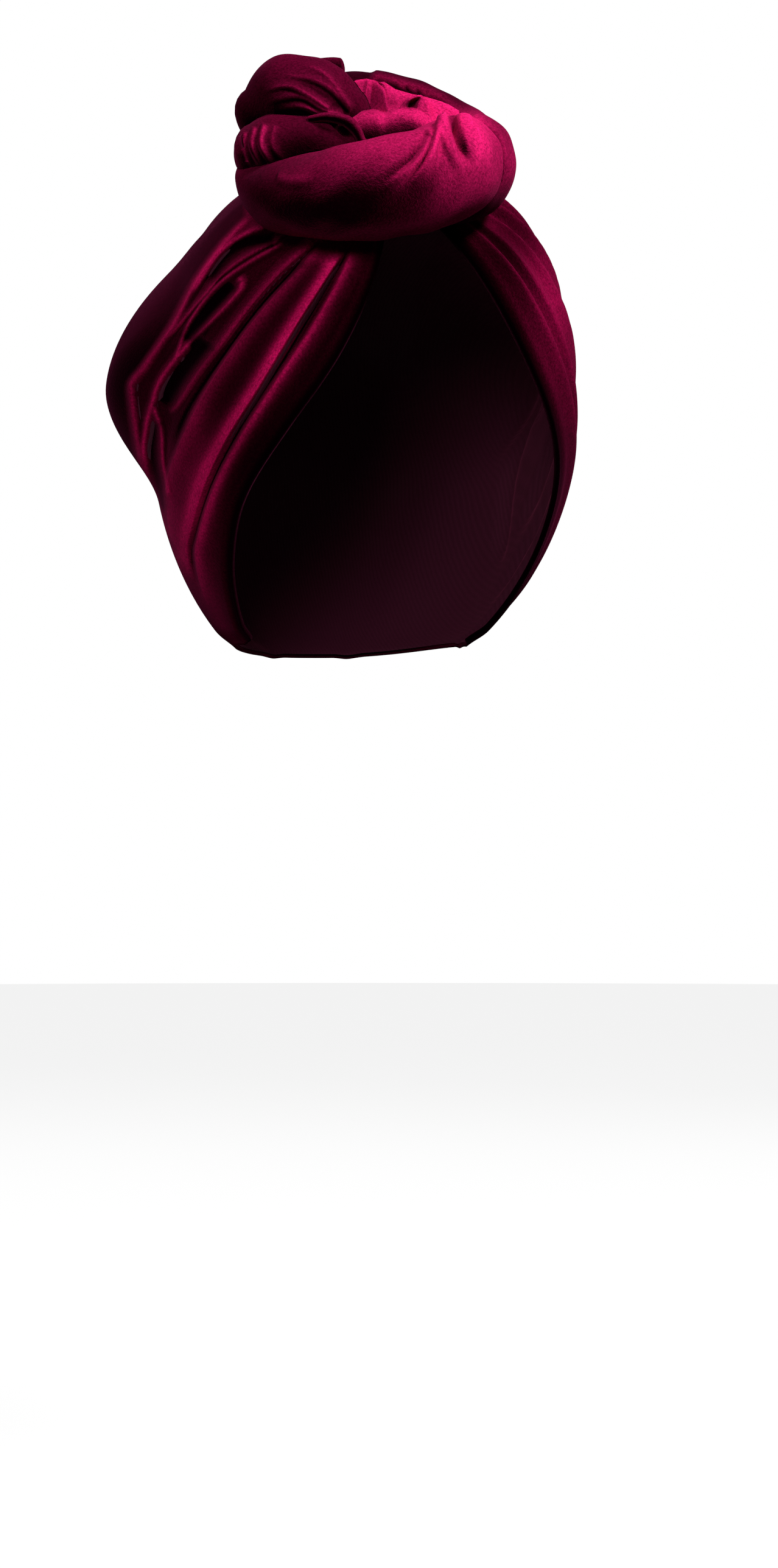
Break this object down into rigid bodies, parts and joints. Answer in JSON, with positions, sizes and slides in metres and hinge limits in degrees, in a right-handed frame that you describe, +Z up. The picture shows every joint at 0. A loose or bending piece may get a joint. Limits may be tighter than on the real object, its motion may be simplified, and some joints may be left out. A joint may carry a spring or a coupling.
{
  "type": "turban headwrap",
  "caption": "Gathered stretch-velvet turban cap, open at face and neck, with a coiled twist knot of wound cloth on the top front.",
  "frame": {"origin": "inside of the crown, where the top of the wearer's head meets the cloth", "axes": "+Z up, -Y towards the face, +X towards the wearer's left"},
  "size_m": [0.1713, 0.2238, 0.2101],
  "materials": {
    "cap_velvet": "burgundy stretch velvet, short pile, bright at grazing angles",
    "knot_velvet": "burgundy stretch velvet, short pile, wound and pleated"
  },
  "bodies": {
    "root": {"cap": "cap_velvet", "knot_front_roll": "knot_velvet", "knot_back_roll": "knot_velvet", "knot_top_twist": "knot_velvet", "knot_left_twist": "knot_velvet", "knot_centre_tuck": "knot_velvet"}
  },
  "joints": []
}
